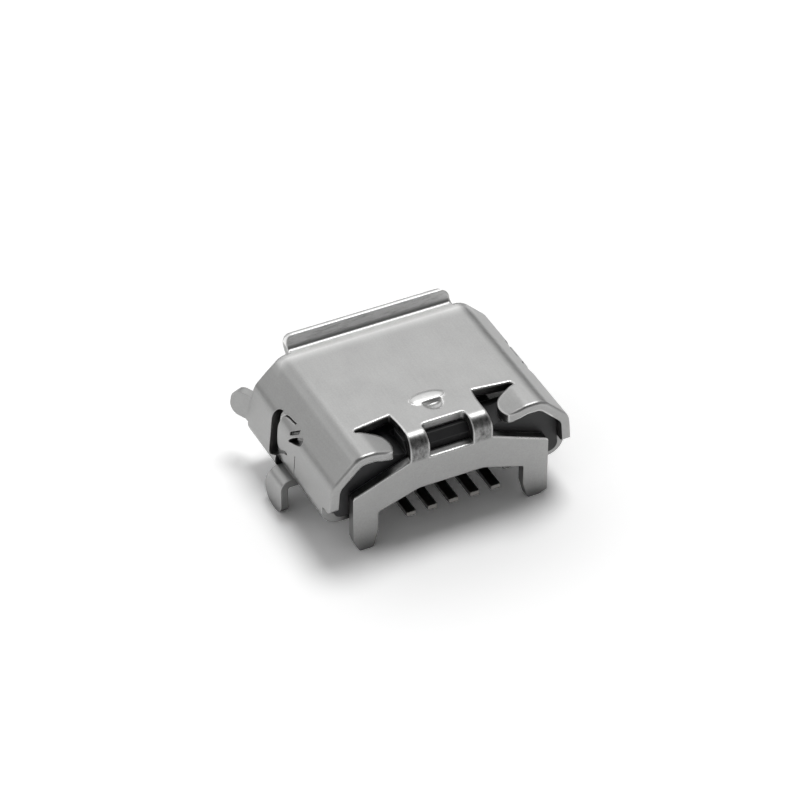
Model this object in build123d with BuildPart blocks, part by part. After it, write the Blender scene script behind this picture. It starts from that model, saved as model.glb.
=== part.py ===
# Micro USB socket for board mounting, five contacts and four shell legs
# Frame: Z = 0 is the board, the mouth faces -Y and X = 0 is the middle of the part.
# The origin is the middle of the solder face of the centre contact.
# All sizes in millimetres.

from build123d import *
from math import atan2, cos, radians, sin, tan
import os

os.makedirs("parts", exist_ok=True)

# Sheet and heights of the shell
sheet = 0.28
shell_rise = 0.04
opening_height = 1.86
shell_top = shell_rise + sheet + opening_height + sheet
inner_top = shell_top - sheet
inner_floor = shell_rise + sheet

# Lengths along the part
rear_face_y = 0.30
mouth_y = -4.70
band_rear_y = -3.26
lower_rear_y = -0.16
side_rear_z = 0.79
rear_corner = 0.14
rear_edge_round = 0.08

# Section of the tube, outer corners before bending
top_corner_x = 2.83
side_corner_x = 3.66
side_corner_z = 1.65
foot_corner_x = 3.78
top_bend = 0.60
side_bend = 0.62
foot_bend = 0.55
band_foot_bend = 0.36

# Section of the front band, which spreads at the foot
band_foot_x = 3.92

# Lip above the mouth
lip_half = 2.54
lip_angle = 64
lip_start = 0.06
lip_bend = 0.12
lip_flap = 0.33
lip_corner = 0.26

# Sill below the mouth
sill_inner_x = 0.18
sill_half = 2.75
sill_angle = 38
sill_bend = 0.12
sill_flap = 0.16

# Side horns of the mouth
horn_mid_z = 0.86
horn_half = 0.39
left_horn_angle = 30
right_horn_angle = 22
horn_start = 0.08
horn_bend = 0.20
horn_flap = 0.54
horn_corner = 0.33

# Rear plate with its straps, window and legs
strap_outer_x = 1.255
strap_waist_x = 1.20
strap_bend = 0.45
window_half = 0.67
window_front_y = -0.30
window_sill_z = 1.742
window_corner = 0.13
shoulder_inner_z = 1.775
shoulder_outer_x = 2.995
shoulder_outer_z = 1.085
shoulder_corner = 0.14
arch_half = 0.98
arch_top_z = 0.765
arch_corner = 0.20
arch_foot_x = 2.235
arch_foot_z = 0.355
arch_foot_corner = 0.08
leg_tip_z = -0.83
leg_waist_z = -0.28
leg_tip_inner_x = 2.38
leg_tip_outer_x = 2.81
leg_taper_z = -0.38
leg_tip_corner = 0.10

# Hook slots and the bent tabs beside them
slot_front_inner_y = -1.02
slot_front_outer_y = -0.865
slot_end_x = 2.43
slot_end_y = -0.74
slot_corner = 0.10
tab_hinge_x = 2.31
tab_hinge_bend = 0.70
tab_drop_angle = 16.6

# Side legs
side_leg_x = 4.13
side_leg_sheet = 0.23
side_leg_shelf_z = 0.36
side_leg_bend = 0.30
side_leg_rear_y = -1.96

# Spring flap in each side wall, scored along its upper edge
score_depth = 0.07
score_width = 0.05

# Sheared line, latch windows and seam
shear_gap = 0.04
web_rear_y = -2.90
web_top_z = 0.66
shear_top_z = 1.20
latch_x = 1.95
latch_y = -2.75
latch_width = 1.05
latch_length = 0.85
latch_corner = 0.15
seam_gap = 0.03
key_y = -3.45
key_neck = 0.40
key_head = 0.70
key_reach = 0.50
tail_bay_half = 1.86
tail_bay_y = -0.98
tail_bay_corner = 0.12

# Stamped dimple in the top
brow_x = 0.0
brow_y = -1.27
brow_half_x = 0.54
brow_half_y = 0.24
brow_height = 0.05
bowl_x = -0.06
bowl_ledge_y = -1.09
bowl_half_x = 0.30
bowl_reach = 0.40
bowl_depth = 0.11

# Insulator
shell_fit = 0.01
block_front_y = -1.03
block_rear_y = 0.00
block_step_y = -0.73
block_step_z = 1.92
bay_half = 1.70
bay_top_z = 0.90
bay_wall_y = -0.66
tongue_half = 1.86
tongue_top_z = 1.88
tongue_foot_z = 1.30
tongue_front_y = -4.10
tongue_chamfer = 0.14

# Contacts
pitch = 0.65
contact_width = 0.28
contact_sheet = 0.14
contact_fit = 0.005
beam_foot_z = 1.24
signal_tip_y = -3.62
power_tip_y = -3.92
drop_rear_y = -0.74
tail_tip_y = 0.45
contact_bend = 0.20
contact_tip_chamfer = 0.05


# Shell
# One folded sheet: a tube with bent lips, straps, tabs and legs.
with BuildPart() as shell:
    # Tube of the rear two thirds
    with BuildSketch(Plane.XZ.offset(-rear_face_y)) as tube_outer:
        with BuildLine():
            Polyline(
                (0, shell_top),
                (top_corner_x, shell_top),
                (side_corner_x, side_corner_z),
                (foot_corner_x, shell_rise),
                (0, shell_rise),
            )
            mirror(about=Plane.YZ)
        make_face()
        fillet([v for v in tube_outer.vertices() if abs(abs(v.X) - top_corner_x) < 0.001], top_bend)
        fillet([v for v in tube_outer.vertices() if abs(abs(v.X) - side_corner_x) < 0.001], side_bend)
        fillet([v for v in tube_outer.vertices() if abs(abs(v.X) - foot_corner_x) < 0.001], foot_bend)
    extrude(amount=rear_face_y - band_rear_y)
    fillet(shell.faces().sort_by(Axis.Y)[-1].outer_wire().edges(), rear_edge_round)
    with BuildSketch(Plane.XZ.offset(-rear_face_y)) as tube_inner:
        add(tube_outer.sketch_local)
        offset(amount=-sheet, mode=Mode.REPLACE)
    extrude(amount=rear_face_y - band_rear_y, mode=Mode.SUBTRACT)

    # Front band, which stands out at the foot
    with BuildSketch(Plane.XZ.offset(-band_rear_y)) as band_outer:
        with BuildLine():
            Polyline(
                (0, shell_top),
                (top_corner_x, shell_top),
                (side_corner_x, side_corner_z),
                (band_foot_x, shell_rise),
                (0, shell_rise),
            )
            mirror(about=Plane.YZ)
        make_face()
        fillet([v for v in band_outer.vertices() if abs(abs(v.X) - top_corner_x) < 0.001], top_bend)
        fillet([v for v in band_outer.vertices() if abs(abs(v.X) - side_corner_x) < 0.001], side_bend)
        fillet([v for v in band_outer.vertices() if abs(abs(v.X) - band_foot_x) < 0.001], band_foot_bend)
    extrude(amount=band_rear_y - mouth_y)
    with BuildSketch(Plane.XZ.offset(-band_rear_y)) as band_inner:
        add(band_outer.sketch_local)
        offset(amount=-sheet, mode=Mode.REPLACE)
    extrude(amount=band_rear_y - mouth_y, mode=Mode.SUBTRACT)

    # Work goes on in the half that is on the left from behind, which is mirrored at the end
    split(bisect_by=Plane.YZ, keep=Keep.TOP)

    # Lower part of the rear end, which stops short of the plate
    with BuildSketch(Plane.YZ) as rear_notch:
        with BuildLine():
            Polyline(
                (lower_rear_y, shell_rise - 1),
                (lower_rear_y, side_rear_z),
                (rear_face_y, side_rear_z),
                (rear_face_y, side_rear_z + 0.5),
                (rear_face_y + 1, side_rear_z + 0.5),
                (rear_face_y + 1, shell_rise - 1),
                close=True,
            )
        make_face()
        fillet(rear_notch.vertices().sort_by_distance((lower_rear_y, side_rear_z))[0], rear_corner)
        fillet(rear_notch.vertices().sort_by_distance((rear_face_y, side_rear_z))[0], rear_corner)
    extrude(amount=foot_corner_x + 1, mode=Mode.SUBTRACT)

    # Opening in the top for slots, tabs and straps
    with BuildSketch(Plane.XY.offset(side_corner_z)) as top_opening:
        with BuildLine():
            Polyline(
                (-1, slot_front_inner_y),
                (strap_outer_x, slot_front_inner_y),
                (slot_end_x, slot_front_outer_y),
                (slot_end_x, rear_face_y + 1),
                (-1, rear_face_y + 1),
                close=True,
            )
        make_face()
        fillet(top_opening.vertices().sort_by_distance((slot_end_x, slot_front_outer_y))[0], slot_corner)
    extrude(amount=shell_top - side_corner_z + 1, mode=Mode.SUBTRACT)

    # Tab beside the slot, bent down towards the middle
    with BuildPart(mode=Mode.PRIVATE) as tab:
        drop = tan(radians(tab_drop_angle))
        with BuildSketch(Plane.XZ.offset(-rear_face_y)) as tab_section:
            Polygon(
                (slot_end_x, shell_top),
                (tab_hinge_x, shell_top),
                (strap_outer_x, shell_top - (tab_hinge_x - strap_outer_x) * drop),
                (strap_outer_x, inner_top - (tab_hinge_x - strap_outer_x) * drop),
                (tab_hinge_x, inner_top),
                (slot_end_x, inner_top),
                align=None,
            )
            fillet(tab_section.vertices().sort_by_distance((tab_hinge_x, shell_top))[0], tab_hinge_bend)
        extrude(amount=rear_face_y - slot_front_inner_y)
        tab_rear_edges = tab.faces().sort_by(Axis.Y)[-1].edges()
        fillet(
            tab_rear_edges.filter_by(
                lambda e: (e @ 0.5).Z > inner_top + sheet / 2 - (slot_end_x - (e @ 0.5).X) * drop
            ),
            rear_edge_round,
        )
        with BuildSketch(Plane.XY.offset(side_corner_z - 0.5)):
            with BuildLine():
                nose = Spline(
                    (slot_end_x, slot_end_y),
                    (2.26, -0.70),
                    (2.00, -0.60),
                    (1.80, -0.48),
                    (1.70, -0.31),
                    (1.67, -0.09),
                    (1.71, 0.12),
                    (1.77, 0.24),
                )
                Polyline(
                    nose @ 1,
                    (1.86, 0.27),
                    (2.10, rear_face_y),
                    (slot_end_x, rear_face_y),
                    nose @ 0,
                )
            make_face()
        extrude(amount=2, mode=Mode.INTERSECT)
    add(tab.part)

    # Straps that bend from the top down into the rear plate
    with BuildPart(mode=Mode.PRIVATE) as strap:
        with BuildSketch(Plane.YZ) as strap_section:
            with BuildLine():
                Polyline(
                    (slot_front_inner_y, shell_top),
                    (rear_face_y, shell_top),
                    (rear_face_y, shoulder_inner_z - 0.40),
                    (rear_face_y - sheet, shoulder_inner_z - 0.40),
                    (rear_face_y - sheet, inner_top),
                    (slot_front_inner_y, inner_top),
                    close=True,
                )
            make_face()
            fillet(strap_section.vertices().sort_by_distance((rear_face_y, shell_top))[0], strap_bend)
            fillet(
                strap_section.vertices().sort_by_distance((rear_face_y - sheet, inner_top))[0],
                strap_bend - sheet,
            )
        extrude(amount=strap_outer_x)
        with BuildSketch(Plane.XY.offset(shoulder_inner_z - 1)):
            with BuildLine():
                waist = ThreePointArc(
                    (strap_outer_x, slot_front_inner_y),
                    (strap_waist_x, slot_front_inner_y * 0.5 + rear_face_y * 0.5 + 0.10),
                    (strap_outer_x, rear_face_y),
                )
                Polyline(waist @ 1, (0, rear_face_y), (0, slot_front_inner_y), waist @ 0)
            make_face()
        extrude(amount=2.5, mode=Mode.INTERSECT)
    add(strap.part)

    # Rear plate: shoulders, arch over the contacts and two legs
    with BuildSketch(Plane.XZ.offset(-rear_face_y)) as plate:
        with BuildLine():
            Polyline(
                (0, shoulder_inner_z),
                (strap_outer_x, shoulder_inner_z),
                (shoulder_outer_x, shoulder_outer_z),
                (shoulder_outer_x, leg_taper_z),
                (leg_tip_outer_x + 0.10, leg_tip_z + 0.21),
                (leg_tip_outer_x, leg_tip_z),
                (leg_tip_inner_x, leg_tip_z),
                (arch_foot_x, leg_waist_z),
                (arch_foot_x, arch_foot_z),
                (arch_half, arch_top_z),
                (0, arch_top_z),
                close=True,
            )
        make_face()
        fillet(plate.vertices().sort_by_distance((shoulder_outer_x, shoulder_outer_z))[0], shoulder_corner)
        fillet(plate.vertices().sort_by_distance((leg_tip_outer_x, leg_tip_z))[0], leg_tip_corner)
        fillet(plate.vertices().sort_by_distance((leg_tip_inner_x, leg_tip_z))[0], leg_tip_corner)
        fillet(plate.vertices().sort_by_distance((arch_half, arch_top_z))[0], arch_corner)
        fillet(plate.vertices().sort_by_distance((arch_foot_x, arch_foot_z))[0], arch_foot_corner)
    extrude(amount=sheet)

    # Window between the straps, cut from above and from behind
    with BuildSketch(Plane.XY.offset(window_sill_z)) as window_above:
        with BuildLine():
            Polyline(
                (-1, window_front_y),
                (window_half, window_front_y),
                (window_half, rear_face_y + 1),
                (-1, rear_face_y + 1),
                close=True,
            )
        make_face()
        fillet(window_above.vertices().sort_by_distance((window_half, window_front_y))[0], window_corner)
    extrude(amount=2, mode=Mode.SUBTRACT)
    with BuildSketch(Plane.XZ.offset(-rear_face_y - 0.5)) as window_behind:
        with BuildLine():
            Polyline(
                (-1, window_sill_z),
                (window_half, window_sill_z),
                (window_half, window_sill_z + 0.50),
                (-1, window_sill_z + 0.50),
                close=True,
            )
        make_face()
        fillet(window_behind.vertices().sort_by_distance((window_half, window_sill_z))[0], window_corner)
    extrude(amount=0.5 + sheet + 0.05, mode=Mode.SUBTRACT)

    # Hole at the free end of the spring flap
    with BuildSketch(Plane.YZ.offset(2.90)):
        with BuildLine():
            hole_upper = Spline((-2.39, 1.42), (-2.235, 1.60), (-2.06, 1.73), (-1.86, 1.835))
            hole_lower = Spline((-1.77, 1.80), (-1.745, 1.68), (-1.86, 1.60), (-2.06, 1.52), (-2.36, 1.39))
            Line(hole_upper @ 1, hole_lower @ 0)
            Line(hole_lower @ 1, hole_upper @ 0)
        make_face()
    extrude(amount=1.2, mode=Mode.SUBTRACT)

    # Score lines along the upper edge of the flap and above the hole
    with BuildPart(mode=Mode.PRIVATE) as score:
        with BuildSketch(Plane.YZ.offset(2.90)):
            with BuildLine():
                Spline((-3.06, 1.775), (-2.94, 1.828), (-2.70, 1.861), (-2.42, 1.885))
            trace(line_width=score_width)
        extrude(amount=1.2)
        with BuildSketch(Plane.YZ.offset(2.90)):
            with BuildLine():
                Spline((-2.40, 1.635), (-2.22, 1.77), (-2.10, 1.845))
            trace(line_width=2 * score_width)
        extrude(amount=1.2)
        with BuildSketch(Plane.XZ.offset(1)):
            add(tube_outer.sketch_local)
            offset(amount=-score_depth, mode=Mode.REPLACE)
        extrude(amount=3, mode=Mode.SUBTRACT)
    add(score.part, mode=Mode.SUBTRACT)

    # Foot of the band, which runs on below the slot to the side leg
    with BuildPart(mode=Mode.PRIVATE) as web:
        with BuildSketch(Plane.XZ.offset(-web_rear_y)):
            add(band_outer.sketch_local)
            offset(band_outer.sketch_local, amount=-sheet, mode=Mode.SUBTRACT)
        extrude(amount=web_rear_y - band_rear_y + 0.10)
        with BuildSketch(Plane.YZ.offset(3.05)):
            Polygon(
                (band_rear_y - 0.14, shell_rise - 0.1),
                (band_rear_y - 0.14, web_top_z),
                (web_rear_y, web_top_z),
                (web_rear_y, shell_rise - 0.1),
                align=None,
            )
        extrude(amount=1, mode=Mode.INTERSECT)
    add(web.part)

    # Arc slot behind the front band, whose lower end tears back into the wall
    with BuildSketch(Plane.YZ.offset(2.90)):
        with BuildLine():
            band_edge = Spline(
                (-3.15, 1.845),
                (-3.29, 1.815),
                (-3.39, 1.74),
                (-3.435, 1.60),
                (-3.445, 1.46),
                (-3.41, 1.13),
                (-3.36, 0.78),
                (-3.32, 0.50),
                (-3.26, 0.38),
            )
            tear_lower = Spline(band_edge @ 1, (-3.10, 0.46), (-2.93, 0.56), (-2.76, 0.70), (-2.45, 0.87))
            tear_upper = Spline(
                (-2.45, 0.95),
                (-2.70, 0.86),
                (-2.90, 0.80),
                (-3.01, 0.88),
                (-3.05, 1.02),
                (-3.075, 1.26),
                (-3.06, 1.46),
                (-3.035, 1.61),
                (-3.03, 1.80),
            )
            Polyline(tear_lower @ 1, (-2.41, 0.92), tear_upper @ 0)
            Line(tear_upper @ 1, band_edge @ 0)
        make_face()
    extrude(amount=1.8, mode=Mode.SUBTRACT)

    # Space under the shelf of the side leg, where the leg came from
    with BuildSketch(Plane.YZ.offset(3.30)):
        Polygon(
            (web_rear_y, side_leg_shelf_z - side_leg_sheet),
            (side_leg_rear_y, side_leg_shelf_z - side_leg_sheet),
            (side_leg_rear_y, -0.2),
            (web_rear_y, -0.2),
            align=None,
        )
    extrude(amount=1.4, mode=Mode.SUBTRACT)

    # Sheared line up the wall from the rear edge of the leg
    with BuildSketch(Plane.YZ.offset(3.30)):
        Polygon(
            (side_leg_rear_y, -0.2),
            (side_leg_rear_y, shear_top_z),
            (side_leg_rear_y + shear_gap, shear_top_z),
            (side_leg_rear_y + shear_gap, -0.2),
            align=None,
        )
    extrude(amount=1.4, mode=Mode.SUBTRACT)

    # Side leg: a shelf out of the wall, bent down to the board
    with BuildPart(mode=Mode.PRIVATE) as side_leg:
        with BuildSketch(Plane.XZ.offset(-side_leg_rear_y)) as side_leg_section:
            with BuildLine():
                Polyline(
                    (3.46, side_leg_shelf_z),
                    (side_leg_x, side_leg_shelf_z),
                    (side_leg_x, leg_tip_z),
                    (side_leg_x - side_leg_sheet, leg_tip_z),
                    (side_leg_x - side_leg_sheet, side_leg_shelf_z - side_leg_sheet),
                    (3.46, side_leg_shelf_z - side_leg_sheet),
                    close=True,
                )
            make_face()
            fillet(
                side_leg_section.vertices().sort_by_distance((side_leg_x, side_leg_shelf_z))[0],
                side_leg_bend,
            )
            fillet(
                side_leg_section.vertices().sort_by_distance(
                    (side_leg_x - side_leg_sheet, side_leg_shelf_z - side_leg_sheet)
                )[0],
                side_leg_bend - side_leg_sheet,
            )
        extrude(amount=1.5)
        with BuildSketch(Plane.YZ.offset(3)):
            with BuildLine():
                paddle = Spline(
                    (side_leg_rear_y, -0.55),
                    (-2.08, -0.74),
                    (-2.30, leg_tip_z),
                    (-2.56, leg_tip_z),
                    (-2.83, -0.72),
                    (-2.98, -0.47),
                    (-2.92, -0.08),
                    (-2.77, 0.22),
                )
                Polyline(paddle @ 1, (-2.73, 0.60), (side_leg_rear_y, 0.60), paddle @ 0)
            make_face()
        extrude(amount=2, mode=Mode.INTERSECT)
    add(side_leg.part)

    # Lip above the mouth, bent up
    with BuildPart(mode=Mode.PRIVATE) as lip:
        lip_turn = radians(lip_angle)
        lip_start_y = mouth_y - lip_start
        with BuildSketch(Plane.YZ):
            with BuildLine():
                upper_arc = CenterArc((lip_start_y, shell_top + lip_bend), lip_bend, 270, -lip_angle)
                lower_arc = CenterArc((lip_start_y, shell_top + lip_bend), lip_bend + sheet, 270, -lip_angle)
                lip_run = (-lip_flap * cos(lip_turn), lip_flap * sin(lip_turn))
                Polyline(
                    upper_arc @ 1,
                    upper_arc @ 1 + lip_run,
                    lower_arc @ 1 + lip_run,
                    lower_arc @ 1,
                )
                Polyline(
                    upper_arc @ 0,
                    (mouth_y + 0.20, shell_top),
                    (mouth_y + 0.20, inner_top),
                    lower_arc @ 0,
                )
            make_face()
        extrude(amount=lip_half)
        lip_tip = upper_arc @ 1 + lip_run
        lip_tip_edges = lip.edges().filter_by(lambda e: abs(e.length - sheet) < 0.001)
        fillet(lip_tip_edges.sort_by_distance((lip_half, lip_tip.X, lip_tip.Y))[0], lip_corner)
    add(lip.part)

    # Sill below the mouth, bent down
    with BuildPart(mode=Mode.PRIVATE) as sill:
        sill_turn = radians(sill_angle)
        sill_start_y = mouth_y - 0.02
        with BuildSketch(Plane.YZ.offset(sill_inner_x)):
            with BuildLine():
                outer_arc = CenterArc((sill_start_y, shell_rise - sill_bend), sill_bend, 90, sill_angle)
                sill_centre = (sill_start_y, shell_rise - sill_bend)
                inner_arc = CenterArc(sill_centre, sill_bend + sheet, 90, sill_angle)
                sill_run = (-sill_flap * cos(sill_turn), -sill_flap * sin(sill_turn))
                Polyline(
                    outer_arc @ 1,
                    outer_arc @ 1 + sill_run,
                    inner_arc @ 1 + sill_run,
                    inner_arc @ 1,
                )
                Polyline(
                    outer_arc @ 0,
                    (mouth_y + 0.20, shell_rise),
                    (mouth_y + 0.20, inner_floor),
                    inner_arc @ 0,
                )
            make_face()
        extrude(amount=sill_half - sill_inner_x)
    add(sill.part)

    # Latch window in the bottom
    with BuildSketch(Plane.XY.offset(shell_rise - 0.5)):
        with Locations((latch_x, latch_y)):
            RectangleRounded(latch_width, latch_length, latch_corner)
    extrude(amount=sheet + 0.6, mode=Mode.SUBTRACT)

    # Bay in the bottom that clears the contact tails
    with BuildSketch(Plane.XY.offset(shell_rise - 0.5)) as tail_bay:
        with BuildLine():
            Polyline(
                (-1, tail_bay_y),
                (tail_bay_half, tail_bay_y),
                (tail_bay_half, lower_rear_y + 1),
                (-1, lower_rear_y + 1),
                close=True,
            )
        make_face()
        fillet(tail_bay.vertices().sort_by_distance((tail_bay_half, tail_bay_y))[0], tail_bay_corner)
    extrude(amount=0.5 + sheet + 0.05, mode=Mode.SUBTRACT)

    # Right half
    mirror(about=Plane.YZ)

    # Outer corner of the right rear leg, cut squarer than the left one
    with BuildSketch(Plane.XZ.offset(-rear_face_y)):
        Polygon(
            (-2.60, leg_taper_z + 0.2),
            (-shoulder_outer_x, leg_taper_z + 0.2),
            (-shoulder_outer_x, leg_tip_z + 0.10),
            (-leg_tip_outer_x + 0.13, leg_tip_z),
            (-2.60, leg_tip_z),
            align=None,
        )
    extrude(amount=sheet)

    # Side horns of the mouth, bent outwards
    horn_drop = (side_corner_z - horn_mid_z) / (side_corner_z - shell_rise)
    horn_x = side_corner_x + (band_foot_x - side_corner_x) * horn_drop
    horn_lean = atan2(band_foot_x - side_corner_x, side_corner_z - shell_rise)
    horn_plane = Plane(
        origin=(horn_x, mouth_y - horn_start, horn_mid_z),
        x_dir=(cos(horn_lean), 0, sin(horn_lean)),
        z_dir=(-sin(horn_lean), 0, cos(horn_lean)),
    )
    for horn_side, horn_angle in ((1, left_horn_angle), (-1, right_horn_angle)):
        with BuildPart(mode=Mode.PRIVATE) as horn:
            horn_turn = radians(horn_angle)
            with BuildSketch(horn_plane):
                with BuildLine():
                    face_arc = CenterArc((horn_bend, 0), horn_bend, 180, horn_angle)
                    back_arc = CenterArc((horn_bend, 0), horn_bend + sheet, 180, horn_angle)
                    horn_run = (horn_flap * sin(horn_turn), -horn_flap * cos(horn_turn))
                    Polyline(
                        face_arc @ 1,
                        face_arc @ 1 + horn_run,
                        back_arc @ 1 + horn_run,
                        back_arc @ 1,
                    )
                    Polyline(face_arc @ 0, (0, horn_start + 0.15), (-sheet, horn_start + 0.15), back_arc @ 0)
                make_face()
            extrude(amount=horn_half, both=True)
            horn_tip = horn_plane.from_local_coords(face_arc @ 1 + horn_run)
            horn_tip_edges = horn.edges().filter_by(lambda e: abs(e.length - sheet) < 0.001)
            fillet(horn_tip_edges.sort_by_distance(horn_tip)[:2], horn_corner)
        if horn_side > 0:
            add(horn.part)
        else:
            mirror(horn.part, about=Plane.YZ)

    # Seam of the bottom with its dovetail key
    with BuildSketch(Plane.XY.offset(shell_rise - 0.5)):
        with BuildLine():
            Polyline(
                (0, mouth_y - 1),
                (0, key_y - key_neck / 2),
                (key_reach, key_y - key_head / 2),
                (key_reach, key_y + key_head / 2),
                (0, key_y + key_neck / 2),
                (0, tail_bay_y + 1),
            )
        trace(line_width=seam_gap)
    extrude(amount=sheet + 0.6, mode=Mode.SUBTRACT)

    # Stamped dimple in the top: a raised brow and a lanced bowl below it
    unit_ball = Sphere(1, mode=Mode.PRIVATE)
    brow = scale(unit_ball, by=(brow_half_x, brow_half_y, brow_height), mode=Mode.PRIVATE)
    with Locations((brow_x, brow_y, shell_top)):
        add(brow)
    with BuildPart(mode=Mode.PRIVATE) as bowl:
        dish = scale(unit_ball, by=(bowl_half_x, bowl_reach, bowl_depth), mode=Mode.PRIVATE)
        with Locations((bowl_x, bowl_ledge_y, shell_top + 0.01)):
            add(dish)
        with Locations((bowl_x, bowl_ledge_y, shell_top)):
            Box(2, 2, 2, align=(Align.CENTER, Align.MIN, Align.CENTER), mode=Mode.INTERSECT)
    add(bowl.part, mode=Mode.SUBTRACT)

shell.part.label = "shell"
export_step(shell.part, "parts/shell.step")


# Insulator
# A moulded block behind the plug space, with the tongue that carries the contacts.
with BuildPart() as insulator:
    # Block that fills the tube
    with BuildSketch(Plane.XZ.offset(-block_rear_y)):
        add(tube_inner.sketch_local)
        offset(amount=-shell_fit, mode=Mode.REPLACE)
    extrude(amount=block_rear_y - block_front_y)

    # Step in the top towards the plug space
    with BuildSketch(Plane.YZ):
        Polygon(
            (block_front_y - 1, block_step_z),
            (block_step_y - 0.05, block_step_z),
            (block_step_y, block_step_z + 0.05),
            (block_step_y, shell_top),
            (block_front_y - 1, shell_top),
            align=None,
        )
    extrude(amount=foot_corner_x, both=True, mode=Mode.SUBTRACT)

    # Bay behind the tails
    with BuildSketch(Plane.XZ.offset(-block_rear_y - 0.5)):
        Polygon(
            (-bay_half, 0),
            (-bay_half, bay_top_z),
            (bay_half, bay_top_z),
            (bay_half, 0),
            align=None,
        )
    extrude(amount=block_rear_y + 0.5 - bay_wall_y, mode=Mode.SUBTRACT)

    # Relief for the bent tabs of the shell
    with BuildPart(mode=Mode.PRIVATE) as tab_relief:
        with BuildSketch(Plane.XZ.offset(-block_rear_y - 0.5)):
            Polygon(
                (strap_outer_x, shell_top),
                (strap_outer_x, inner_top - (tab_hinge_x - strap_outer_x) * drop - 0.02),
                (slot_end_x, inner_top - 0.02),
                (slot_end_x, shell_top),
                align=None,
            )
        extrude(amount=block_rear_y + 0.5 - block_front_y)
    add(tab_relief.part, mode=Mode.SUBTRACT)
    mirror(tab_relief.part, about=Plane.YZ, mode=Mode.SUBTRACT)

    # Relief for the inner bend of the straps
    with BuildSketch(Plane.YZ):
        Polygon(
            (block_rear_y - 0.18, shell_top),
            (block_rear_y - 0.18, inner_top - 0.03),
            (block_rear_y, inner_top - 0.22),
            (block_rear_y + 1, inner_top - 0.22),
            (block_rear_y + 1, shell_top),
            align=None,
        )
    extrude(amount=strap_outer_x + 0.05, both=True, mode=Mode.SUBTRACT)

    # Tongue
    with BuildSketch(Plane.YZ) as tongue_section:
        with BuildLine():
            Polyline(
                (block_front_y + 0.1, tongue_top_z),
                (tongue_front_y, tongue_top_z),
                (tongue_front_y, tongue_foot_z),
                (block_front_y + 0.1, tongue_foot_z),
                close=True,
            )
        make_face()
        chamfer(
            tongue_section.vertices().group_by(Axis.X)[0],
            tongue_chamfer,
        )
    extrude(amount=tongue_half, both=True)

    # Grooves for the contacts, through tongue and block
    with BuildPart(mode=Mode.PRIVATE) as groove:
        with BuildSketch(Plane.YZ) as groove_section:
            with BuildLine():
                Polyline(
                    (power_tip_y - contact_fit, beam_foot_z - contact_fit),
                    (power_tip_y - contact_fit, beam_foot_z + contact_sheet + contact_fit),
                    (drop_rear_y + contact_fit, beam_foot_z + contact_sheet + contact_fit),
                    (drop_rear_y + contact_fit, 0),
                    (drop_rear_y - contact_sheet - contact_fit, 0),
                    (drop_rear_y - contact_sheet - contact_fit, beam_foot_z - contact_fit),
                    close=True,
                )
            make_face()
            fillet(
                groove_section.vertices().sort_by_distance(
                    (drop_rear_y + contact_fit, beam_foot_z + contact_sheet + contact_fit)
                )[0],
                contact_bend + contact_fit,
            )
            fillet(
                groove_section.vertices().sort_by_distance(
                    (drop_rear_y - contact_sheet - contact_fit, beam_foot_z - contact_fit)
                )[0],
                contact_bend - contact_sheet - contact_fit,
            )
        extrude(amount=contact_width / 2 + contact_fit, both=True)
    with GridLocations(pitch, 0, 5, 1):
        add(groove.part, mode=Mode.SUBTRACT)

insulator.part.label = "insulator"
export_step(insulator.part, "parts/insulator.step")


# Contacts
# Formed strips: a beam under the tongue, a drop through the block and a tail on the board.
with BuildPart() as long_contact:
    with BuildSketch(Plane.YZ) as long_section:
        with BuildLine():
            Polyline(
                (power_tip_y, beam_foot_z),
                (power_tip_y, beam_foot_z + contact_sheet),
                (drop_rear_y, beam_foot_z + contact_sheet),
                (drop_rear_y, contact_sheet),
                (tail_tip_y, contact_sheet),
                (tail_tip_y, 0),
                (drop_rear_y - contact_sheet, 0),
                (drop_rear_y - contact_sheet, beam_foot_z),
                close=True,
            )
        make_face()
        fillet(
            [
                long_section.vertices().sort_by_distance((drop_rear_y, beam_foot_z + contact_sheet))[0],
                long_section.vertices().sort_by_distance((drop_rear_y - contact_sheet, 0))[0],
            ],
            contact_bend,
        )
        fillet(
            [
                long_section.vertices().sort_by_distance((drop_rear_y - contact_sheet, beam_foot_z))[0],
                long_section.vertices().sort_by_distance((drop_rear_y, contact_sheet))[0],
            ],
            contact_bend - contact_sheet,
        )
    extrude(amount=contact_width / 2, both=True)
    chamfer(long_contact.edges().group_by(Axis.Y)[0].filter_by(Axis.X), contact_tip_chamfer)

with BuildPart() as short_contact:
    add(long_contact.part)
    with BuildSketch(Plane.XZ.offset(-signal_tip_y)):
        with Locations((0, beam_foot_z)):
            Rectangle(1, 1)
    extrude(amount=1, mode=Mode.SUBTRACT)

with BuildPart() as power_contact:
    with Locations((-2 * pitch, 0, 0)):
        add(long_contact.part)
power_contact.part.label = "power_contact"
export_step(power_contact.part, "parts/power_contact.step")

with BuildPart() as data_minus_contact:
    with Locations((-pitch, 0, 0)):
        add(short_contact.part)
data_minus_contact.part.label = "data_minus_contact"
export_step(data_minus_contact.part, "parts/data_minus_contact.step")

with BuildPart() as data_plus_contact:
    add(short_contact.part)
data_plus_contact.part.label = "data_plus_contact"
export_step(data_plus_contact.part, "parts/data_plus_contact.step")

with BuildPart() as id_contact:
    with Locations((pitch, 0, 0)):
        add(short_contact.part)
id_contact.part.label = "id_contact"
export_step(id_contact.part, "parts/id_contact.step")

with BuildPart() as ground_contact:
    with Locations((2 * pitch, 0, 0)):
        add(long_contact.part)
ground_contact.part.label = "ground_contact"
export_step(ground_contact.part, "parts/ground_contact.step")
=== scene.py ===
import math

import bpy
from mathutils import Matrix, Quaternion, Vector


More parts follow.
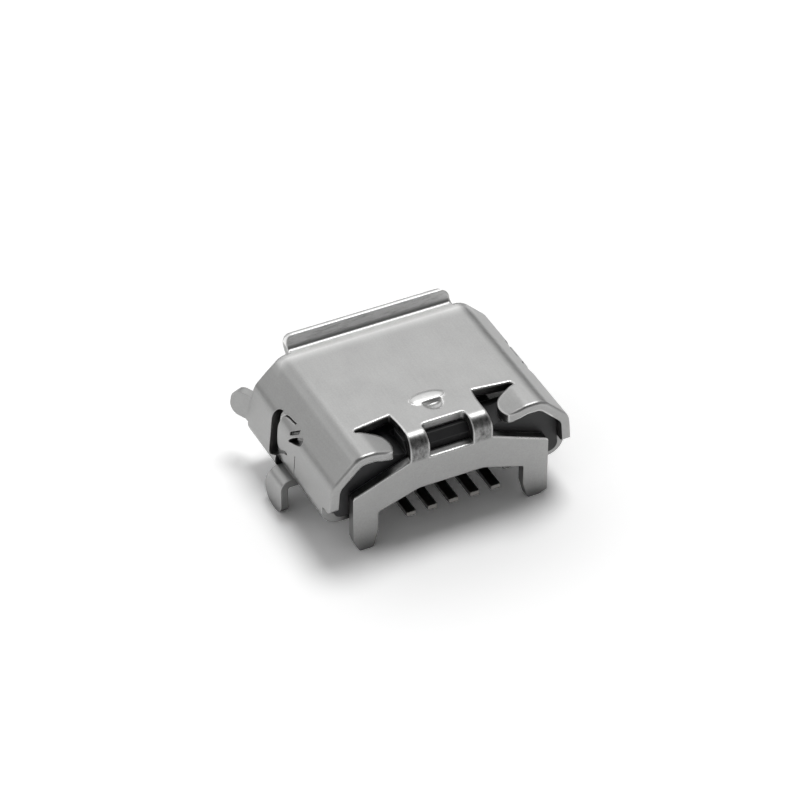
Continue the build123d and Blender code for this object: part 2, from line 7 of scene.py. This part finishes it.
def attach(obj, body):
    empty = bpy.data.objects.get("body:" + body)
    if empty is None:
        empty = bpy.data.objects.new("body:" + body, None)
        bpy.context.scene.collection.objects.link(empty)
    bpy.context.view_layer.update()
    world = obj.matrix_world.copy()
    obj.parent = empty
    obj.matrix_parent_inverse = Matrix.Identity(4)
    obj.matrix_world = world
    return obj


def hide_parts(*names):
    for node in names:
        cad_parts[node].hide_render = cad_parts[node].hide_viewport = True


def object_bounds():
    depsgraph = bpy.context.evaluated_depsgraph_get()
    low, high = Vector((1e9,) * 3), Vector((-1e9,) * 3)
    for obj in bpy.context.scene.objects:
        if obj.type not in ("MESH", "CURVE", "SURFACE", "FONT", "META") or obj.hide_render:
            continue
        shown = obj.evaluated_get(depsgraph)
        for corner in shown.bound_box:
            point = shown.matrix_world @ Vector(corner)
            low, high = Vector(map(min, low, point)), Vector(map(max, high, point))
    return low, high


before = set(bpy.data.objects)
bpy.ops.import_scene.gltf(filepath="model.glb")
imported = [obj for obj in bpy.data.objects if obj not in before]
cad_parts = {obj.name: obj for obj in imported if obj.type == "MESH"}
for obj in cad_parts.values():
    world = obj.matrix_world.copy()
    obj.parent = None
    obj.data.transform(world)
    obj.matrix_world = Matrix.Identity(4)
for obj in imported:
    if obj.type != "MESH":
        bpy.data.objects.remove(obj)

cad_box = [list(corner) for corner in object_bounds()]
scene = bpy.context.scene
scene.view_settings.view_transform = "Standard"

# Camera
# A long lens about 120 mm away, which looks down on the rear of the socket and
# on its left side. The socket is small, so the near clip plane is pulled in.
MM = 0.001
CAMERA_PLACE = Vector((42.386, 82.164, 77.780)) * MM
CAMERA_AIM = Vector((0.602, -1.685, 2.276)) * MM
CAMERA_ROLL = math.radians(0.236)
CAMERA_LENS = 196.9
CAMERA_SENSOR = 36
CLIP_NEAR = 5 * MM
CLIP_FAR = 5000 * MM
bpy.ops.object.camera_add(location=CAMERA_PLACE)
camera = bpy.context.object
camera.name = "camera"
camera.rotation_mode = "QUATERNION"
camera_look = (CAMERA_AIM - CAMERA_PLACE).to_track_quat("-Z", "Y")
camera.rotation_quaternion = camera_look @ Quaternion((0, 0, 1), CAMERA_ROLL)
camera.data.sensor_width = CAMERA_SENSOR
camera.data.lens = CAMERA_LENS
camera.data.clip_start = CLIP_NEAR
camera.data.clip_end = CLIP_FAR
scene.camera = camera

# Floor
# A plain white sheet that the four legs stand on. It is white to the camera and
# in reflections, and keeps the socket's soft shadow.
FLOOR_SIZE = 2400 * MM
FLOOR_TONE = (0.80, 0.80, 0.80)
FLOOR_SEEN_TONE = (1.25, 1.25, 1.25)


def calculate(tree, operation, *values, clamp=False):
    """A math node whose inputs are sockets or plain numbers."""
    node = tree.nodes.new("ShaderNodeMath")
    node.operation = operation
    node.use_clamp = clamp
    for position, value in enumerate(values):
        if isinstance(value, (int, float)):
            node.inputs[position].default_value = value
        else:
            tree.links.new(value, node.inputs[position])
    return node.outputs[0]


def mix_tones(tree, amount, first, second):
    """A colour mix by a socket, of two sockets or plain colours."""
    node = tree.nodes.new("ShaderNodeMix")
    node.data_type = "RGBA"
    for position, value in ((0, amount), (6, first), (7, second)):
        if isinstance(value, tuple):
            node.inputs[position].default_value = (*value, 1)
        else:
            tree.links.new(value, node.inputs[position])
    return node.outputs[2]


bpy.ops.mesh.primitive_plane_add(size=FLOOR_SIZE, location=(0, 0, cad_box[0][2]))
floor = bpy.context.object
floor.name = "floor"
floor_paint = bpy.data.materials.new("white_floor")
floor_paint.use_nodes = True
floor.data.materials.append(floor_paint)
tree = floor_paint.node_tree
tree.nodes.clear()
floor_out = tree.nodes.new("ShaderNodeOutputMaterial")
floor_diffuse = tree.nodes.new("ShaderNodeBsdfDiffuse")
floor_rays = tree.nodes.new("ShaderNodeLightPath").outputs
seen_ray = calculate(tree, "MAXIMUM", floor_rays["Is Camera Ray"], floor_rays["Is Glossy Ray"])
seen_ray = calculate(tree, "MAXIMUM", seen_ray, floor_rays["Is Transmission Ray"])
floor_tone = mix_tones(tree, seen_ray, FLOOR_TONE, FLOOR_SEEN_TONE)
tree.links.new(floor_tone, floor_diffuse.inputs["Color"])
tree.links.new(floor_diffuse.outputs[0], floor_out.inputs["Surface"])

# Studio
# A soft lamp stands high beyond the right end of the mouth, so the shadow falls
# at the rear and at the left. The room's four walls are grey, and its top is dark.
LAMP_DISTANCE = 400 * MM
LAMP_AZIMUTH = math.radians(223)
LAMP_ELEVATION = math.radians(69)
LAMP_SIZE = 190 * MM
LAMP_POWER = 0.84
lamp_place = LAMP_DISTANCE * Vector((
    math.cos(LAMP_AZIMUTH) * math.cos(LAMP_ELEVATION),
    math.sin(LAMP_AZIMUTH) * math.cos(LAMP_ELEVATION),
    math.sin(LAMP_ELEVATION),
))
bpy.ops.object.light_add(type="AREA", location=lamp_place)
lamp = bpy.context.object
lamp.name = "soft_lamp"
lamp.data.shape = "DISK"
lamp.data.size = LAMP_SIZE
lamp.data.energy = LAMP_POWER
lamp.rotation_mode = "QUATERNION"
lamp.rotation_quaternion = (-lamp_place).to_track_quat("-Z", "Y")

# Each wall's axis, its side, and its strength at the foot, in the middle and at the top.
# The palest one is beyond the mouth, and the darkest one is behind the camera.
WALL_HEIGHTS = (0.10, 0.55, 0.92)
WALLS = (
    ("X", 1, (0.55, 0.90, 0.00)),
    ("X", -1, (0.12, 0.62, 0.00)),
    ("Y", 1, (0.32, 0.10, 0.00)),
    ("Y", -1, (0.14, 1.78, 0.00)),
)
LEVEL_ONLY = (1, 1, 0)
room = bpy.data.worlds.new("studio")
scene.world = room
room.use_nodes = True
tree = room.node_tree
room_light = tree.nodes["Background"]
room_light.inputs["Color"].default_value = (1, 1, 1, 1)
room_way = tree.nodes.new("ShaderNodeTexCoord").outputs["Generated"]
room_height = tree.nodes.new("ShaderNodeSeparateXYZ")
room_flat = tree.nodes.new("ShaderNodeVectorMath")
room_flat.operation = "MULTIPLY"
room_flat.inputs[1].default_value = LEVEL_ONLY
room_turn = tree.nodes.new("ShaderNodeVectorMath")
room_turn.operation = "NORMALIZE"
room_axes = tree.nodes.new("ShaderNodeSeparateXYZ")
tree.links.new(room_way, room_height.inputs[0])
tree.links.new(room_way, room_flat.inputs[0])
tree.links.new(room_flat.outputs[0], room_turn.inputs[0])
tree.links.new(room_turn.outputs[0], room_axes.inputs[0])
room_sum = 0
for wall_axis, wall_side, wall_strengths in WALLS:
    facing = calculate(tree, "MULTIPLY", room_axes.outputs[wall_axis], wall_side, clamp=True)
    share = calculate(tree, "MULTIPLY", facing, facing)
    ramp = tree.nodes.new("ShaderNodeValToRGB")
    stops = ramp.color_ramp.elements
    stops.new(0.5)
    for stop, height, strength in zip(stops, WALL_HEIGHTS, wall_strengths):
        stop.position = height
        stop.color = (strength, strength, strength, 1)
    tree.links.new(room_height.outputs["Z"], ramp.inputs[0])
    room_sum = calculate(tree, "MULTIPLY_ADD", share, ramp.outputs["Color"], room_sum)
tree.links.new(room_sum, room_light.inputs["Strength"])

# Folded shell
# One sheet of steel, 0.28 mm thick and satin plated, sheared and folded into a
# tube with its lips, horns, straps, rear plate and legs.
MERGE_DISTANCE = 0.0002 * MM
FLAT_ANGLE = math.radians(1.5)
BEND_ANGLE = math.radians(32)


def joined_copy(node_name, piece_name):
    """A copy of a node's mesh with its flat faces joined and its bends shaded smooth."""
    piece = bpy.data.objects.new(piece_name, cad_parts[node_name].data.copy())
    scene.collection.objects.link(piece)
    bpy.ops.object.select_all(action="DESELECT")
    piece.select_set(True)
    bpy.context.view_layer.objects.active = piece
    bpy.ops.object.mode_set(mode="EDIT")
    bpy.ops.mesh.select_all(action="SELECT")
    bpy.ops.mesh.remove_doubles(threshold=MERGE_DISTANCE)
    bpy.ops.mesh.dissolve_limited(angle_limit=FLAT_ANGLE)
    bpy.ops.object.mode_set(mode="OBJECT")
    bpy.ops.mesh.customdata_custom_splitnormals_clear()
    bpy.ops.object.shade_smooth_by_angle(angle=BEND_ANGLE)
    even = piece.modifiers.new("even_shading", "WEIGHTED_NORMAL")
    even.keep_sharp = True
    bpy.ops.object.modifier_apply(modifier=even.name)
    return piece


shell = joined_copy("shell", "folded_shell")


def new_group(name, inputs, outputs):
    """A shader node group with named sockets, and its two end nodes."""
    group = bpy.data.node_groups.new(name, "ShaderNodeTree")
    for socket_name, kind, value in inputs:
        socket = group.interface.new_socket(socket_name, in_out="INPUT", socket_type=kind)
        socket.default_value = value
    for socket_name, kind in outputs:
        group.interface.new_socket(socket_name, in_out="OUTPUT", socket_type=kind)
    return group, group.nodes.new("NodeGroupInput"), group.nodes.new("NodeGroupOutput")


def place_group(tree, group, values):
    """A group's node in a material, with its own values."""
    node = tree.nodes.new("ShaderNodeGroup")
    node.node_tree = group
    for name, value in values.items():
        node.inputs[name].default_value = value
    return node


def noise_on(tree, waves, detail, roughness):
    """Noise from 0 to 1 on Object coordinates, with its waves per millimetre on each axis."""
    place = tree.nodes.new("ShaderNodeTexCoord")
    mapping = tree.nodes.new("ShaderNodeMapping")
    mapping.inputs["Scale"].default_value = [count / MM for count in waves]
    noise = tree.nodes.new("ShaderNodeTexNoise")
    noise.inputs["Scale"].default_value = 1
    noise.inputs["Detail"].default_value = detail
    noise.inputs["Roughness"].default_value = roughness
    tree.links.new(place.outputs["Object"], mapping.inputs["Vector"])
    tree.links.new(mapping.outputs["Vector"], noise.inputs["Vector"])
    return noise.outputs["Fac"]


def pair_vectors(tree, operation, first, second):
    """A vector math node of two sockets."""
    node = tree.nodes.new("ShaderNodeVectorMath")
    node.operation = operation
    tree.links.new(first, node.inputs[0])
    tree.links.new(second, node.inputs[1])
    return node


def shade_tone(tree, colour, gain):
    """A plain colour, lighter or darker by a socket."""
    node = tree.nodes.new("ShaderNodeVectorMath")
    node.operation = "SCALE"
    node.inputs[0].default_value = colour
    tree.links.new(gain, node.inputs["Scale"])
    return node.outputs[0]


def raise_grain(tree, shader, height, rounded_normal, relief):
    """Grain that stands up by its relief, over the rounded normal of the edges."""
    bump = tree.nodes.new("ShaderNodeBump")
    bump.inputs["Distance"].default_value = relief
    tree.links.new(height, bump.inputs["Height"])
    tree.links.new(rounded_normal, bump.inputs["Normal"])
    tree.links.new(bump.outputs["Normal"], shader.inputs["Normal"])


# Grain of rolled and tumbled metal: fine speckle, soft clouds and roll lines
SPECKLE_WAVES = (22, 22, 22)
CLOUD_WAVES = (1.3, 1.3, 1.3)
ROLL_LINE_WAVES = (26, 1.2, 26)
NOISE_MIDDLE = 0.5
grain, ends_in, ends_out = new_group(
    "metal_grain",
    [
        ("Speckle", "NodeSocketFloat", 0.2),
        ("Clouds", "NodeSocketFloat", 0.2),
        ("Roll Lines", "NodeSocketFloat", 0.1),
    ],
    [("Tone", "NodeSocketFloat"), ("Height", "NodeSocketFloat")],
)
speckle = noise_on(grain, SPECKLE_WAVES, detail=2.5, roughness=0.65)
clouds = noise_on(grain, CLOUD_WAVES, detail=3.0, roughness=0.55)
lines = noise_on(grain, ROLL_LINE_WAVES, detail=2.0, roughness=0.5)
speckle = calculate(grain, "SUBTRACT", speckle, NOISE_MIDDLE)
clouds = calculate(grain, "SUBTRACT", clouds, NOISE_MIDDLE)
lines = calculate(grain, "SUBTRACT", lines, NOISE_MIDDLE)
speckle = calculate(grain, "MULTIPLY", speckle, ends_in.outputs["Speckle"])
clouds = calculate(grain, "MULTIPLY", clouds, ends_in.outputs["Clouds"])
lines = calculate(grain, "MULTIPLY", lines, ends_in.outputs["Roll Lines"])
fine = calculate(grain, "ADD", speckle, lines)
grain_tone = calculate(grain, "ADD", calculate(grain, "ADD", fine, clouds), 1.0)
grain.links.new(grain_tone, ends_out.inputs["Tone"])
grain.links.new(fine, ends_out.inputs["Height"])

# Depth: 0 in the open and 1 deep in a fold, a slot or under a lip, which sets how much shade is
# painted in
DEPTH_SAMPLES = 8
depth, ends_in, ends_out = new_group(
    "painted_shade_depth", [("Reach", "NodeSocketFloat", 0.5 * MM)], [("Mask", "NodeSocketFloat")]
)
openness = depth.nodes.new("ShaderNodeAmbientOcclusion")
openness.samples = DEPTH_SAMPLES
depth.links.new(ends_in.outputs["Reach"], openness.inputs["Distance"])
closed_in = calculate(depth, "SUBTRACT", 1.0, openness.outputs["AO"], clamp=True)
depth.links.new(closed_in, ends_out.inputs["Mask"])

# Edges: the rounded normal of a sheared edge, and a mask that is 1 on its rounding
EDGE_SAMPLES = 8
EDGE_GAIN = 11.0
edges, ends_in, ends_out = new_group(
    "sheared_edge",
    [("Width", "NodeSocketFloat", 0.05 * MM)],
    [("Mask", "NodeSocketFloat"), ("Normal", "NodeSocketVector")],
)
rounding = edges.nodes.new("ShaderNodeBevel")
rounding.samples = EDGE_SAMPLES
edges.links.new(ends_in.outputs["Width"], rounding.inputs["Radius"])
surface = edges.nodes.new("ShaderNodeNewGeometry")
turn = pair_vectors(edges, "DOT_PRODUCT", rounding.outputs["Normal"], surface.outputs["Normal"])
bent = calculate(edges, "SUBTRACT", 1.0, turn.outputs["Value"])
edge_mask = calculate(edges, "MULTIPLY", bent, EDGE_GAIN, clamp=True)
edges.links.new(edge_mask, ends_out.inputs["Mask"])
edges.links.new(rounding.outputs["Normal"], ends_out.inputs["Normal"])

# Zone: 1 inside a box with soft sides, alike on the left and right halves
zone, ends_in, ends_out = new_group(
    "zone",
    [
        ("Low", "NodeSocketVector", (0, 0, 0)),
        ("High", "NodeSocketVector", (0, 0, 0)),
        ("Soft", "NodeSocketFloat", 0.1 * MM),
    ],
    [("Mask", "NodeSocketFloat")],
)
zone_place = zone.nodes.new("ShaderNodeTexCoord")
zone_axes = zone.nodes.new("ShaderNodeSeparateXYZ")
zone_folded = zone.nodes.new("ShaderNodeCombineXYZ")
zone.links.new(zone_place.outputs["Object"], zone_axes.inputs[0])
zone_off_middle = calculate(zone, "ABSOLUTE", zone_axes.outputs["X"])
zone.links.new(zone_off_middle, zone_folded.inputs["X"])
zone.links.new(zone_axes.outputs["Y"], zone_folded.inputs["Y"])
zone.links.new(zone_axes.outputs["Z"], zone_folded.inputs["Z"])
zone_above = pair_vectors(zone, "SUBTRACT", zone_folded.outputs[0], ends_in.outputs["Low"])
zone_below = pair_vectors(zone, "SUBTRACT", ends_in.outputs["High"], zone_folded.outputs[0])
zone_least = pair_vectors(zone, "MINIMUM", zone_above.outputs[0], zone_below.outputs[0])
zone_sides = zone.nodes.new("ShaderNodeSeparateXYZ")
zone.links.new(zone_least.outputs[0], zone_sides.inputs[0])
zone_side = calculate(zone, "MINIMUM", zone_sides.outputs["X"], zone_sides.outputs["Y"])
zone_side = calculate(zone, "MINIMUM", zone_side, zone_sides.outputs["Z"])
zone_side = calculate(zone, "DIVIDE", zone_side, ends_in.outputs["Soft"], clamp=True)
zone.links.new(zone_side, ends_out.inputs["Mask"])

# Plated steel: satin grain over the sheet, and streaks on the lip, which is painted paler as a
# painted reflection. A painted highlight on the flare behind it, streaky straps painted darker
# as painted shade, a painted highlight on the dimple, painted shade in the folds and deep
# inside, and edges paler partly by rubbing and partly as a painted highlight
SHELL_TONE = (0.35, 0.35, 0.347)
LEAST_GAIN = 0.12
FOLD_SHADE_TONE = (0.04, 0.04, 0.04)
RUBBED_AND_GLINT_TONE = (0.86, 0.86, 0.85)
STEEL_RELIEF = 0.0035 * MM
# Each zone's two corners and how soft its sides are, in millimetres
LIP_ZONE = ((-1, -5.2, 2.50), (9, -4.40, 3.2), 0.10)
STRAP_ZONE = ((0.60, -0.62, 1.70), (1.40, 0.5, 2.45), 0.10)
TOP_ZONE = ((-1, -5.5, 1.00), (3.20, 1.0, 3.5), 0.10)
BROW_ZONE = ((-1, -1.60, 2.462), (0.60, -1.00, 2.60), 0.03)
BOWL_ZONE = ((-1, -1.20, 2.200), (0.50, -0.60, 2.45), 0.02)
FLARE_ZONE = ((-1, -4.95, 1.50), (3.30, -4.06, 3.50), 0.48)
STEEL_ZONES = (LIP_ZONE, STRAP_ZONE, TOP_ZONE, BROW_ZONE, BOWL_ZONE, FLARE_ZONE)
steel = bpy.data.materials.new("plated_steel")
steel.use_nodes = True
tree = steel.node_tree
steel_shader = tree.nodes["Principled BSDF"]
steel_shader.inputs["Metallic"].default_value = 1
steel_grain = place_group(tree, grain, {"Speckle": 0.30, "Clouds": 0.16, "Roll Lines": 0.12})
steel_masks = []
for zone_low, zone_high, zone_soft in STEEL_ZONES:
    zone_sizes = {
        "Low": [side * MM for side in zone_low],
        "High": [side * MM for side in zone_high],
        "Soft": zone_soft * MM,
    }
    steel_masks.append(place_group(tree, zone, zone_sizes).outputs["Mask"])
lip_mask, strap_mask, top_mask, brow_mask, bowl_mask, flare_mask = steel_masks

# Gains on the steel's tone: streaks on the lip and the straps, a painted reflection that makes
# the lip paler, painted shade that makes the straps darker, and painted highlights on the flare
# and the dimple
LIP_WAVES = (2.2, 15, 15)
LIP_STREAK_AND_SHEEN_GAIN, LIP_STREAK_BASE = 3.6, -0.075
STRAP_WAVES = (9, 5, 5)
STRAP_STREAK_GAIN, STRAP_SHADE_BASE = 1.8, -1.3
FLARE_FADE, FLARE_SHEEN_GAIN = 2.6, 0.85
BOWL_HIGHLIGHT_GAIN, BROW_HIGHLIGHT_GAIN = 1.3, 0.55
# Painted reflection: the lip is painted paler, with streaks in it
lip_streaks = noise_on(tree, LIP_WAVES, detail=3.0, roughness=0.7)
lip_streaks_and_sheen = calculate(tree, "MULTIPLY_ADD", lip_streaks, LIP_STREAK_AND_SHEEN_GAIN, LIP_STREAK_BASE)
# Painted shade: the straps are painted darker, with streaks in them
strap_streaks = noise_on(tree, STRAP_WAVES, detail=3.0, roughness=0.7)
strap_streaks_and_shade = calculate(
    tree, "MULTIPLY_ADD", strap_streaks, STRAP_STREAK_GAIN, STRAP_SHADE_BASE
)
# Painted highlight: the flare behind the lip is painted paler, fading out towards the lip
flare_off_lip = calculate(tree, "SUBTRACT", 1.0, lip_mask)
flare_sheen = calculate(tree, "POWER", flare_mask, FLARE_FADE)
flare_sheen = calculate(tree, "MULTIPLY", flare_sheen, flare_off_lip)
# Painted highlight: the dimple's brow and bowl are painted paler
dimple_highlight = calculate(tree, "MULTIPLY", brow_mask, BROW_HIGHLIGHT_GAIN)
dimple_highlight = calculate(tree, "MULTIPLY_ADD", bowl_mask, BOWL_HIGHLIGHT_GAIN, dimple_highlight)
steel_gain = steel_grain.outputs["Tone"]
steel_gain = calculate(tree, "MULTIPLY_ADD", lip_mask, lip_streaks_and_sheen, steel_gain)
steel_gain = calculate(tree, "MULTIPLY_ADD", strap_mask, strap_streaks_and_shade, steel_gain)
steel_gain = calculate(tree, "MULTIPLY_ADD", flare_sheen, FLARE_SHEEN_GAIN, steel_gain)
steel_gain = calculate(tree, "ADD", steel_gain, dimple_highlight)
steel_gain = calculate(tree, "MAXIMUM", steel_gain, LEAST_GAIN)
steel_tone = shade_tone(tree, SHELL_TONE, steel_gain)

# Painted shade: darker in the folds, less so in the bowl, on the lip and on the flare, and
# darker deep inside
FOLD_REACH = 0.75 * MM
FOLD_FADE = 1.3
FOLD_LESS = -0.85
INSIDE_REACH = 4.0 * MM
INSIDE_GAIN, INSIDE_BASE = 5.0, -3.6
fold_mask = place_group(tree, depth, {"Reach": FOLD_REACH}).outputs["Mask"]
inside_shade_mask = place_group(tree, depth, {"Reach": INSIDE_REACH}).outputs["Mask"]
lip_or_flare = calculate(tree, "MAXIMUM", lip_mask, flare_mask)
fold_share = calculate(tree, "MULTIPLY_ADD", bowl_mask, FOLD_LESS, 1.0)
fold_share = calculate(tree, "MULTIPLY_ADD", lip_or_flare, FOLD_LESS, fold_share)
painted_shade = calculate(tree, "POWER", fold_mask, FOLD_FADE)
painted_shade = calculate(tree, "MULTIPLY", painted_shade, fold_share)
painted_inside_shade = calculate(
    tree, "MULTIPLY_ADD", inside_shade_mask, INSIDE_GAIN, INSIDE_BASE, clamp=True
)
painted_shade = calculate(tree, "MAXIMUM", painted_shade, painted_inside_shade)
steel_colour = mix_tones(tree, painted_shade, steel_tone, FOLD_SHADE_TONE)

# Edges, rounder and paler over the top than on the sides, less pale on the straps: partly
# rubbed wear and partly a painted highlight
EDGE_WIDTH = 0.0385 * MM
TOP_EDGE_MORE = 0.0715 * MM
FOLD_RUB_LESS = -0.4
RUB_SHARE, TOP_RUB_MORE, STRAP_RUB_LESS = 0.12, 0.88, -0.55
steel_edges = place_group(tree, edges, {})
edge_width = calculate(tree, "MULTIPLY_ADD", top_mask, TOP_EDGE_MORE, EDGE_WIDTH)
tree.links.new(edge_width, steel_edges.inputs["Width"])
wear_and_glint = calculate(
    tree, "MULTIPLY_ADD", fold_mask, FOLD_RUB_LESS, steel_edges.outputs["Mask"], clamp=True
)
rub_share = calculate(tree, "MULTIPLY_ADD", top_mask, TOP_RUB_MORE, RUB_SHARE)
rub_share = calculate(tree, "MULTIPLY_ADD", strap_mask, STRAP_RUB_LESS, rub_share)
wear_and_glint = calculate(tree, "MULTIPLY", wear_and_glint, rub_share)
steel_colour = mix_tones(tree, wear_and_glint, steel_colour, RUBBED_AND_GLINT_TONE)
tree.links.new(steel_colour, steel_shader.inputs["Base Color"])

# Roughness: satin, rougher on the scuffed lip and smoother on the rubbed edges
SHELL_ROUGHNESS = 0.37
LIP_ROUGHER = 0.12
RUBBED_SMOOTHER = -0.08
rough = calculate(tree, "MULTIPLY", steel_grain.outputs["Tone"], SHELL_ROUGHNESS)
rough = calculate(tree, "MULTIPLY_ADD", lip_mask, LIP_ROUGHER, rough)
rough = calculate(tree, "MULTIPLY_ADD", wear_and_glint, RUBBED_SMOOTHER, rough)
tree.links.new(rough, steel_shader.inputs["Roughness"])
steel_height, steel_normal = steel_grain.outputs["Height"], steel_edges.outputs["Normal"]
raise_grain(tree, steel_shader, steel_height, steel_normal, STEEL_RELIEF)
shell.data.materials.clear()
shell.data.materials.append(steel)
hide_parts("shell")
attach(shell, "root")

# Insulator
# One moulding of black heat-proof plastic with a tongue that carries the
# contacts, pushed into the shell from behind.
PLASTIC_DARK_TONE = (0.008, 0.008, 0.009)
PLASTIC_PALE_TONE = (0.026, 0.026, 0.027)
PLASTIC_EDGE_TONE = (0.045, 0.045, 0.046)
PLASTIC_EDGE_WIDTH = 0.04 * MM
PLASTIC_SHINE = 0.45
PLASTIC_ROUGHNESS, PIT_ROUGHER = 0.34, 0.25
PLASTIC_CLOUD_WAVES = (2.5, 2.5, 2.5)
PIT_WAVES = (28, 28, 28)
PLASTIC_RELIEF = 0.004 * MM
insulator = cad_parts["insulator"]
plastic = bpy.data.materials.new("black_plastic")
plastic.use_nodes = True
tree = plastic.node_tree
plastic_shader = tree.nodes["Principled BSDF"]
plastic_shader.inputs["Specular IOR Level"].default_value = PLASTIC_SHINE
plastic_edges = place_group(tree, edges, {"Width": PLASTIC_EDGE_WIDTH})
plastic_clouds = noise_on(tree, PLASTIC_CLOUD_WAVES, detail=3.0, roughness=0.6)
plastic_pits = noise_on(tree, PIT_WAVES, detail=2.0, roughness=0.6)
plastic_colour = mix_tones(tree, plastic_clouds, PLASTIC_DARK_TONE, PLASTIC_PALE_TONE)
plastic_colour = mix_tones(
    tree, plastic_edges.outputs["Mask"], plastic_colour, PLASTIC_EDGE_TONE
)
tree.links.new(plastic_colour, plastic_shader.inputs["Base Color"])
plastic_rough = calculate(tree, "MULTIPLY_ADD", plastic_pits, PIT_ROUGHER, PLASTIC_ROUGHNESS)
tree.links.new(plastic_rough, plastic_shader.inputs["Roughness"])
raise_grain(tree, plastic_shader, plastic_pits, plastic_edges.outputs["Normal"], PLASTIC_RELIEF)
insulator.data.materials[0] = plastic

# Contacts
# Five springy strips of tinned bronze, side by side under the tongue. Their
# tails come out at the rear and lie on the board.
TIN_TONE = (0.20, 0.195, 0.185)
TIN_FOLD_SHADE_TONE = (0.02, 0.02, 0.02)
TIN_ROUGHNESS = 0.34
TIN_FOLD_REACH = 0.60 * MM
TIN_EDGE_WIDTH = 0.04 * MM
TIN_RELIEF = 0.005 * MM
tin = bpy.data.materials.new("tinned_bronze")
tin.use_nodes = True
tree = tin.node_tree
tin_shader = tree.nodes["Principled BSDF"]
tin_shader.inputs["Metallic"].default_value = 1
tin_grain = place_group(tree, grain, {"Speckle": 0.30, "Clouds": 0.20, "Roll Lines": 0.20})
# Painted shade: the contacts are painted darker in their folds and where parts close over them
tin_shade_depth = place_group(tree, depth, {"Reach": TIN_FOLD_REACH})
tin_edges = place_group(tree, edges, {"Width": TIN_EDGE_WIDTH})
tin_tone = shade_tone(tree, TIN_TONE, tin_grain.outputs["Tone"])
tin_colour = mix_tones(tree, tin_shade_depth.outputs["Mask"], tin_tone, TIN_FOLD_SHADE_TONE)
tree.links.new(tin_colour, tin_shader.inputs["Base Color"])
tin_rough = calculate(tree, "MULTIPLY", tin_grain.outputs["Tone"], TIN_ROUGHNESS)
tree.links.new(tin_rough, tin_shader.inputs["Roughness"])
tin_height, tin_normal = tin_grain.outputs["Height"], tin_edges.outputs["Normal"]
raise_grain(tree, tin_shader, tin_height, tin_normal, TIN_RELIEF)
for contact_name in ("power", "data_minus", "data_plus", "id", "ground"):
    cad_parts[contact_name + "_contact"].data.materials[0] = tin
